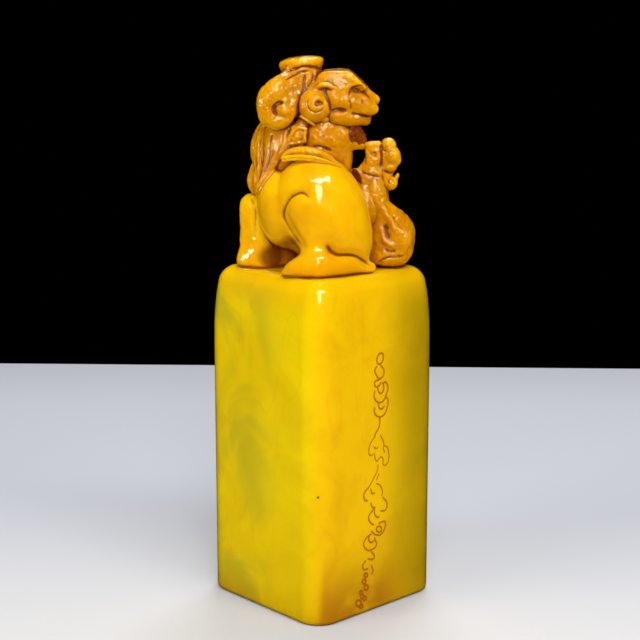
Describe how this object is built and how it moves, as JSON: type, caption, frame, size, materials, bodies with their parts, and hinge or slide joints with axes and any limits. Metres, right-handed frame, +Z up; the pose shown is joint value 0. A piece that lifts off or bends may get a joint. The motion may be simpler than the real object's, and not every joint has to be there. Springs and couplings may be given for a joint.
{
  "type": "seal stamp",
  "caption": "Tall square yellow stone seal with a plain stamp face and a crouching guardian beast carved on top as its grip.",
  "frame": {"origin": "the middle of the flat stamp face, under the middle of the block", "axes": "+Z up, from the stamp face to the beast; the beast's body looks along +X and its head turns to its own right, towards -Y; the face with the incised scroll ornament is the -Y face"},
  "size_m": [0.03, 0.03, 0.0977],
  "materials": {
    "polished_stone": "polished",
    "smooth_carved_stone": "polished",
    "tooled_carved_stone": "polished"
  },
  "bodies": {
    "root": {"seal_block": "polished_stone", "torso": "smooth_carved_stone", "rump": "smooth_carved_stone", "chest": "smooth_carved_stone", "right_haunch": "smooth_carved_stone", "left_haunch": "smooth_carved_stone", "right_hind_foot": "smooth_carved_stone", "left_hind_foot": "smooth_carved_stone", "neck": "tooled_carved_stone", "right_shoulder": "tooled_carved_stone", "left_shoulder": "tooled_carved_stone", "right_foreleg": "tooled_carved_stone", "left_foreleg": "tooled_carved_stone", "right_forepaw": "tooled_carved_stone", "left_forepaw": "tooled_carved_stone", "skull": "tooled_carved_stone", "forehead": "tooled_carved_stone", "muzzle": "tooled_carved_stone", "nose": "tooled_carved_stone", "lower_jaw": "tooled_carved_stone", "beard": "tooled_carved_stone", "right_brow": "tooled_carved_stone", "left_brow": "tooled_carved_stone", "right_eye": "tooled_carved_stone", "left_eye": "tooled_carved_stone", "right_cheek": "tooled_carved_stone", "left_cheek": "tooled_carved_stone", "right_cheek_lock": "tooled_carved_stone", "left_cheek_lock": "tooled_carved_stone", "right_ear": "tooled_carved_stone", "left_ear": "tooled_carved_stone", "ear_root": "tooled_carved_stone", "horn": "tooled_carved_stone", "mane": "tooled_carved_stone", "mane_strand_1": "tooled_carved_stone", "mane_strand_2": "tooled_carved_stone", "mane_strand_3": "tooled_carved_stone", "mane_strand_4": "tooled_carved_stone", "mane_strand_5": "tooled_carved_stone", "mane_hem_back": "tooled_carved_stone", "mane_hem_front": "tooled_carved_stone", "scroll_middle": "tooled_carved_stone", "scroll_top": "tooled_carved_stone", "scroll_low": "tooled_carved_stone", "scroll_band": "tooled_carved_stone"}
  },
  "joints": []
}
